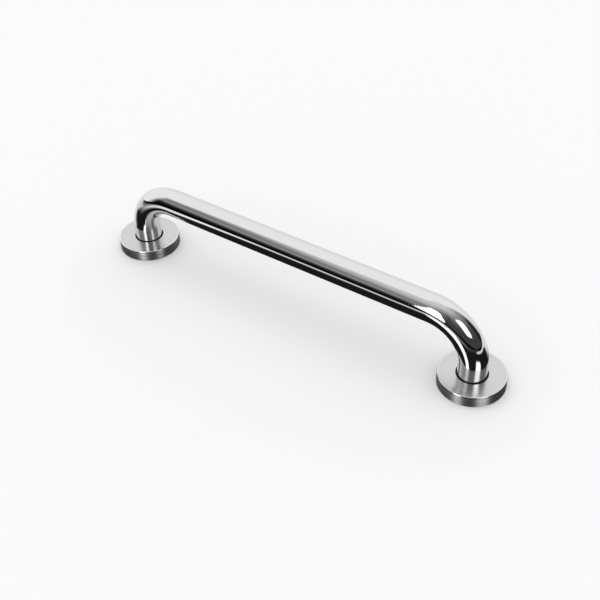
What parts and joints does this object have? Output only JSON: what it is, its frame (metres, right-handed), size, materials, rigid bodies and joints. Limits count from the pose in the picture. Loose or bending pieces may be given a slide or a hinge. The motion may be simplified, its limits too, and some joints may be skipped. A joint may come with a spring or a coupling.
{
  "type": "grab rail",
  "caption": "Bent polished tube grab rail on concealed round mounting plates, each hidden by a round cover that turns and slides up the leg.",
  "frame": {"origin": "on the mounting plane, midway between the axes of the two legs", "axes": "+X along the grip, +Z away from the mounting plane, +Y across the rail"},
  "size_m": [0.524, 0.074, 0.096],
  "materials": {
    "polished_steel": "mirror-polished stainless steel",
    "turned_steel": "satin face and fine turned lines round the side",
    "plate_steel": "plain mill finish",
    "weld_steel": "welded, cleaned",
    "black_rubber": "matt black"
  },
  "bodies": {
    "rail": {"rail_tube": "polished_steel", "left_base_plate": "plate_steel", "left_top_weld": "weld_steel", "left_foot_weld": "weld_steel", "right_base_plate": "plate_steel", "right_top_weld": "weld_steel", "right_foot_weld": "weld_steel"},
    "left_ring": {"left_guide_ring": "black_rubber"},
    "left_cover": {"left_cover": "turned_steel"},
    "right_ring": {"right_guide_ring": "black_rubber"},
    "right_cover": {"right_cover": "turned_steel"}
  },
  "joints": [
    {"name": "left_cover_slide", "type": "slide", "parent": "rail", "child": "left_ring", "axis": [0, 0, 1], "range_m": [0, 0.0145]},
    {"name": "left_cover_turn", "type": "hinge", "parent": "left_ring", "child": "left_cover", "pos_m": [-0.225, 0, 0], "axis": [0, 0, 1], "continuous": true},
    {"name": "right_cover_slide", "type": "slide", "parent": "rail", "child": "right_ring", "axis": [0, 0, 1], "range_m": [0, 0.0145]},
    {"name": "right_cover_turn", "type": "hinge", "parent": "right_ring", "child": "right_cover", "pos_m": [0.225, 0, 0], "axis": [0, 0, 1], "continuous": true}
  ]
}
